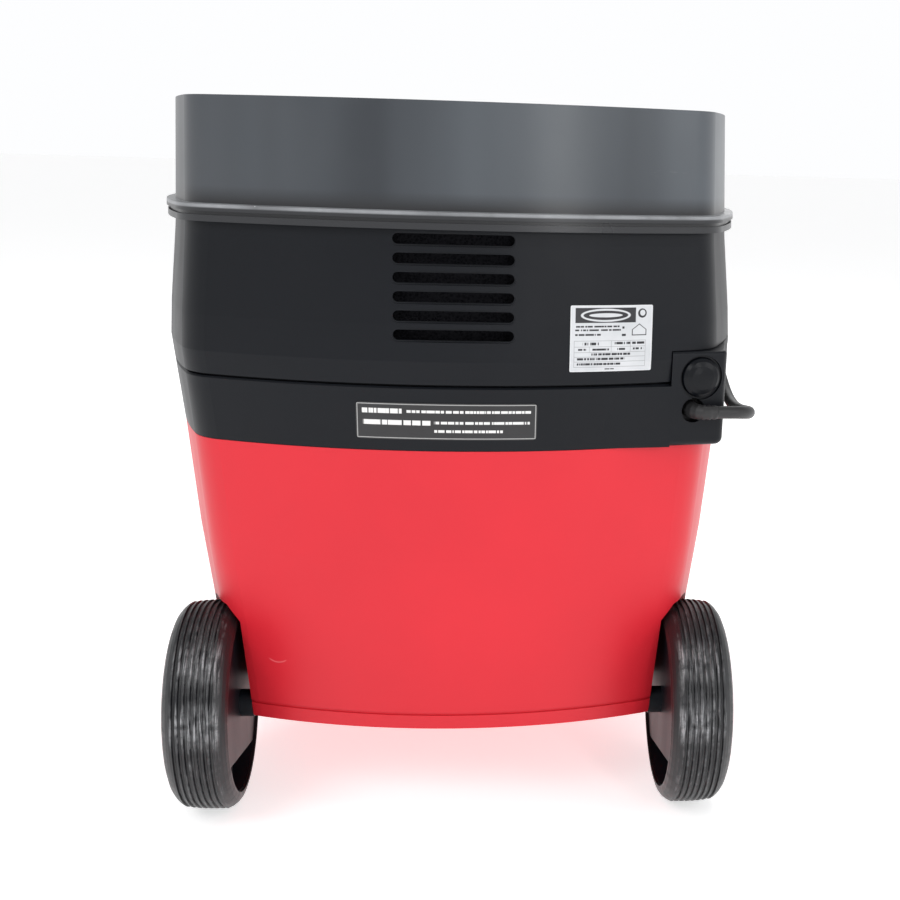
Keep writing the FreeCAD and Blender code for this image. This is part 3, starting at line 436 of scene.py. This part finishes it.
def foam_material():
    """Open-cell foam behind the vent slots, coloured near black as painted shade inside the slots: almost no
    gloss.
    """
    s = Shader("foam_open_cell")
    cell = s.cells(700.0)
    # painted shade: the near-black foam colour stands in for the shade deep in the vent slots
    colour = s.mix(s.span(cell, 0.1, 0.6), (0.002, 0.002, 0.003), (0.010, 0.010, 0.012))
    s.set(Base_Color=colour, Roughness=s.span(cell, 0, 0.7, 0.85, 1.0), Normal=s.bump(cell, 0.8, 0.0006))
    s.gloss(0.05)
    return s.mat


MATS = {
    "red_shell": tub_material(),
    "black_shell": moulded("black_moulded", BLACK, 0.40, 1200.0, 0.00007, 0.10, 0.18),
    "cap_black": moulded("cap_moulded", shade(BLACK, 0.75), 0.30, 1300.0, 0.00004),
    "carrier_black": moulded("carrier_moulded", shade(BLACK, 1.1), 0.38, 1000.0, 0.00006, 0.1, 0.2),
    "wheel_black": moulded("wheel_moulded", shade(BLACK, 1.2), 0.42, 900.0, 0.0001, 0.12, 0.3),
    "tyre_black": tread_material(),
    "axle_steel": metal("axle_zinc", (0.55, 0.55, 0.56), 0.32),
    "hub_cap": moulded("hub_moulded", shade(BLACK, 1.1), 0.34),
    "fork_black": moulded("fork_paint", shade(BLACK, 1.5), 0.34, 700.0, 0.00005, 0.1, 0.4, 0.2),
    "screw_steel": metal("screw_zinc", (0.50, 0.50, 0.52), 0.35, (500, 500, 500)),
    "seal_rubber": rubbery("seal_rubber", (0.020, 0.020, 0.021)),
    "deck_plastic": moulded("deck_moulded", (0.035, 0.036, 0.040), 0.45),
    "lever_black": moulded("lever_moulded", shade(BLACK, 1.1), 0.33, 1100.0, 0.00006, 0.1, 0.3),
    "handle_steel": metal("handle_plated", (0.62, 0.62, 0.64), 0.22, (120, 600, 600)),
    "grip_black": rubbery("grip_rubber", (0.020, 0.020, 0.022)),
    "filter_fabric": cloth_material("filter_felt", (0.66, 0.63, 0.55)),
    "foam": foam_material(),
    "motor_metal": metal("motor_zinc", (0.52, 0.53, 0.54), 0.36),
    "rotor_steel": metal("rotor_steel", (0.42, 0.40, 0.38), 0.3),
    "impeller_alu": metal("impeller_alu", (0.72, 0.72, 0.74), 0.3),
    "switch_plastic": moulded("switch_moulded", (0.03, 0.03, 0.034), 0.4),
    "cord_black": rubbery("cord_sheath", (0.0125, 0.0125, 0.0135), 0.46, 0.2),
    "gland_rubber": rubbery("gland_rubber", (0.011, 0.011, 0.012), 0.5, 0.2),
    "plug_black": rubbery("plug_rubber", (0.014, 0.014, 0.015), 0.5, 0.2),
    "blade_brass": metal("blade_brass", (0.72, 0.55, 0.26), 0.25, (500, 500, 500)),
    "plate_white": plate_material(),
    "label_black": warning_material(),
}
OWN_LOOK = {"caddy_drum": drum_material()}
SLOT_OF = {row["node"]: row["material_slot"] for row in frame["record"]["subparts"]}


def dress(obj, mat):
    """Gives the object this one material."""
    obj.data.materials.clear()
    obj.data.materials.append(mat)


for node, obj in NODES.items():
    dress(obj, OWN_LOOK.get(node, MATS[SLOT_OF[node]]))


# ---------------------------------------------------------------- supply cord
CORD_D = 7.4 * MM
CORD_R = CORD_D / 2
COIL_AT = Vector((0.040, 0.330, 0.0))
COIL_IN, COIL_OUT = 0.0308, 0.0719
COIL_LAYERS, COIL_PITCH = 6, 7.5 * MM
CLIMB_FROM = 0.95                           # the last part of a layer climbs to the next
COIL_GAP = 0.1 * MM                         # between the floor and the lowest turn
COIL_START, COIL_LEAVE = math.radians(-3.5), math.radians(135.0)
COIL_FULL_TURNS, POINTS_PER_TURN = 28, 14

# mm: from the boot along the right side, over the right latch and down to the coil; then coil to plug
ROUTE = [(158.4, -156.6, 255.1), (167.3, -149.4, 253.6), (172.0, -138.8, 251.6), (174.6, -119.0, 248.2),
         (176.4, -92.0, 243.8), (178.2, -64.0, 241.2), (179.8, -36.0, 242.8), (181.0, -10.0, 249.4),
         (181.6, 16.0, 259.6), (181.4, 42.0, 267.0), (180.2, 66.0, 266.0), (178.0, 87.0, 256.0),
         (175.0, 101.0, 238.0), (171.8, 111.0, 208.0), (168.5, 120.0, 172.0), (165.0, 128.0, 134.0),
         (160.5, 138.0, 96.0), (155.0, 150.0, 60.0), (148.0, 166.0, 30.0), (139.5, 188.0, 11.0),
         (130.0, 216.0, 4.2), (119.5, 250.0, 3.8), (111.0, 288.0, 3.8)]
TAIL = [(-25.0, 361.0, 38.5), (-43.0, 344.0, 32.0), (-63.0, 328.0, 23.0), (-85.0, 314.0, 15.5),
        (-108.0, 304.0, 13.0), (-130.0, 298.0, 13.0)]

# rear face of the cord block, as in the CAD model
FACET = math.radians(12.0)
FACE_OUT = Vector((math.sin(FACET), -math.cos(FACET), 0))
FACE_RIGHT = Vector((math.cos(FACET), math.sin(FACET), 0))
FACE_EDGE = Vector((0.1220, -0.1572, 0))
OUTLET_X, OUTLET_Z = 0.1357, 0.2555
BOOT_BEND, BOOT_TAIL, BOOT_DEEP = 7.2 * MM, 4.0 * MM, 8.0 * MM


def on_face(x, z, depth=0.0):
    """A point of the block's rear face at this x and height, or this deep behind it."""
    p = FACE_EDGE + FACE_RIGHT * ((x - FACE_EDGE.x) / FACE_RIGHT.x) - FACE_OUT * depth
    return Vector((p.x, p.y, z))


OUTLET = on_face(OUTLET_X, OUTLET_Z)
CORD_EXIT = OUTLET + FACE_OUT * BOOT_BEND + FACE_RIGHT * (BOOT_BEND + BOOT_TAIL)


def coil_points():
    """Layers wound outward and inward in turn, each a cord's thickness above the last."""
    turns = COIL_FULL_TURNS + (COIL_LEAVE - COIL_START) / (2 * math.pi)
    per_layer = turns / COIL_LAYERS
    outer, inner = COIL_OUT - CORD_R, COIL_IN + CORD_R
    count = int(turns * POINTS_PER_TURN)
    points = []
    for n in range(count + 1):
        done = turns * n / count
        layer = min(int(done / per_layer), COIL_LAYERS - 1)
        part = done / per_layer - layer
        climb = max(0.0, (part - CLIMB_FROM) / (1.0 - CLIMB_FROM)) if layer < COIL_LAYERS - 1 else 0.0
        part = part if layer % 2 == 0 else 1.0 - part
        r = outer + (inner - outer) * part
        angle = COIL_START + done * 2 * math.pi
        z = CORD_R + COIL_GAP + COIL_PITCH * (layer + climb)
        points.append(COIL_AT + Vector((r * math.cos(angle), r * math.sin(angle), z)))
    return points


def spline_object(name, points, radius):
    """Round curve object along the points, with closed ends."""
    curve = bpy.data.curves.new(name, "CURVE")
    curve.dimensions = "3D"
    curve.bevel_depth = radius
    curve.bevel_resolution = 6
    curve.use_fill_caps = True
    spline = curve.splines.new("NURBS")
    spline.points.add(len(points) - 1)
    for p, q in zip(spline.points, points):
        p.co = (q[0], q[1], q[2], 1.0)
    spline.order_u = 3
    spline.use_endpoint_u = True
    spline.resolution_u = 6
    obj = bpy.data.objects.new(name, curve)
    bpy.context.scene.collection.objects.link(obj)
    return obj


cord_points = [CORD_EXIT] + [Vector(p) * MM for p in ROUTE] + coil_points() + [Vector(p) * MM for p in TAIL]
cord = spline_object("supply_cord", cord_points, CORD_R)
dress(cord, MATS["cord_black"])
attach(cord, "head")
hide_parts("cord", "cord_coil", "cord_tail")


# ---------------------------------------------------------------- mesh helpers
def mesh_object(name, bm, mat, body):
    """Smooth-shaded object from the bmesh, riding on a body."""
    mesh = bpy.data.meshes.new(name)
    bm.to_mesh(mesh)
    bm.free()
    obj = bpy.data.objects.new(name, mesh)
    bpy.context.scene.collection.objects.link(obj)
    for face in mesh.polygons:
        face.use_smooth = True
    dress(obj, mat)
    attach(obj, body)
    return obj


def swept(bm, centres, radii, sides=32):
    """Round tube through the centres with a radius at each, capped at both ends."""
    rings = []
    before = None
    for i, (c, r) in enumerate(zip(centres, radii)):
        a = centres[max(i - 1, 0)]
        b = centres[min(i + 1, len(centres) - 1)]
        d = (b - a).normalized()
        u = before - d * before.dot(d) if before is not None else d.orthogonal()
        u.normalize()
        before = u
        v = d.cross(u)
        rings.append([bm.verts.new(c + (u * math.cos(t) + v * math.sin(t)) * r)
                      for t in (2 * math.pi * k / sides for k in range(sides))])
    for p, q in zip(rings, rings[1:]):
        for k in range(sides):
            bm.faces.new((p[k], p[(k + 1) % sides], q[(k + 1) % sides], q[k]))
    bm.faces.new(list(reversed(rings[0])))
    bm.faces.new(rings[-1])


# ---------------------------------------------------------------- strain relief boot
BOOT_THICK, BOOT_TAPER, RING_DEEP = 4.8, 0.75, 0.45         # mm: radius at the block, its loss, ring depth
BOOT_STEPS_IN, BOOT_STEPS_BEND, BOOT_STEPS_OUT = 8, 12, 4


def boot():
    """Right-angle boot with shallow flex rings that taper down to the cord."""
    start = on_face(OUTLET_X, OUTLET_Z, BOOT_DEEP)
    path = [start + FACE_OUT * (BOOT_DEEP * k / BOOT_STEPS_IN) for k in range(BOOT_STEPS_IN)]
    for k in range(BOOT_STEPS_BEND + 1):
        t = math.pi / 2 * k / BOOT_STEPS_BEND
        bend = FACE_OUT * (BOOT_BEND * math.sin(t)) + FACE_RIGHT * (BOOT_BEND * (1 - math.cos(t)))
        path.append(OUTLET + bend)
    last = path[-1]
    path += [last + FACE_RIGHT * (BOOT_TAIL * k / BOOT_STEPS_OUT) for k in range(1, BOOT_STEPS_OUT + 1)]
    total = len(path) - 1
    radii = []
    for k in range(total + 1):
        done = k / total
        r = BOOT_THICK - BOOT_TAPER * done
        if 0.25 < done < 0.95 and k % 3 == 0:
            r -= RING_DEEP
        radii.append(r * MM)
    radii[-1] = CORD_R + 0.1 * MM
    bm = bmesh.new()
    swept(bm, path, radii)
    obj = mesh_object("cord_boot_ribbed", bm, MATS["gland_rubber"], "head")
    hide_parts("cord_boot")


boot()


# ---------------------------------------------------------------- stage and light
FLOOR_GLOW, ROOM_LIGHT = 0.58, 0.36
FLOOR_SIZE = 60.0
HORIZON_LOW, HORIZON_HIGH = 0.16, 0.45      # the room fades from white to its own light between these


def make_stage():
    """White light table under a pale room: a floor with a little glow of its own, and a bright horizon."""
    bpy.ops.mesh.primitive_plane_add(size=FLOOR_SIZE, location=(0, 0, 0))
    floor = bpy.context.object
    floor.name = "studio_floor"
    s = Shader("studio_floor")
    colour = s.mix(s.span(s.noise(1.5, 2.0), 0.3, 0.7), (0.84, 0.84, 0.845), (0.86, 0.86, 0.86))
    s.set(Base_Color=colour, Roughness=0.7)
    s.bsdf.inputs["Emission Color"].default_value = (1.0, 1.0, 1.0, 1.0)
    s.bsdf.inputs["Emission Strength"].default_value = FLOOR_GLOW
    dress(floor, s.mat)
    world = bpy.data.worlds.new("studio")
    world.use_nodes = True
    tree = world.node_tree
    back = tree.nodes["Background"]
    coord = tree.nodes.new("ShaderNodeTexCoord")
    split = tree.nodes.new("ShaderNodeSeparateXYZ")
    tree.links.new(coord.outputs["Generated"], split.inputs[0])
    ramp = tree.nodes.new("ShaderNodeMapRange")
    tree.links.new(split.outputs[2], ramp.inputs["Value"])
    for key, value in (("From Min", HORIZON_LOW), ("From Max", HORIZON_HIGH), ("To Min", 1.0),
                       ("To Max", ROOM_LIGHT)):
        ramp.inputs[key].default_value = value
    tree.links.new(ramp.outputs[0], back.inputs[1])
    back.inputs[0].default_value = (0.985, 0.99, 1.0, 1.0)
    bpy.context.scene.world = world


def area_light(name, place, target, size, power, size_y=None):
    """Soft light at a place, turned to the target; size_y makes it a tall strip."""
    data = bpy.data.lights.new(name, "AREA")
    data.energy = power
    data.size = size
    if size_y:
        data.shape, data.size_y = "RECTANGLE", size_y
    obj = bpy.data.objects.new(name, data)
    obj.location = place
    obj.rotation_mode = "QUATERNION"
    obj.rotation_quaternion = (Vector(target) - Vector(place)).to_track_quat("-Z", "Y")
    bpy.context.scene.collection.objects.link(obj)


make_stage()
area_light("key", (-1.5, -1.7, 2.1), (0, 0, 0.2), 1.2, 24)
area_light("fill", (1.9, -1.3, 1.3), (0, 0, 0.25), 1.2, 10)
area_light("strip", (0.9, -2.2, 1.2), (0.0, -0.17, 0.38), 0.18, 9, 1.6)
area_light("top", (0.0, 0.3, 2.3), (0, 0, 0.3), 1.8, 17)
area_light("back", (0.3, 2.2, 1.6), (0, 0, 0.3), 1.6, 12)
bpy.context.scene.view_settings.view_transform = "Standard"
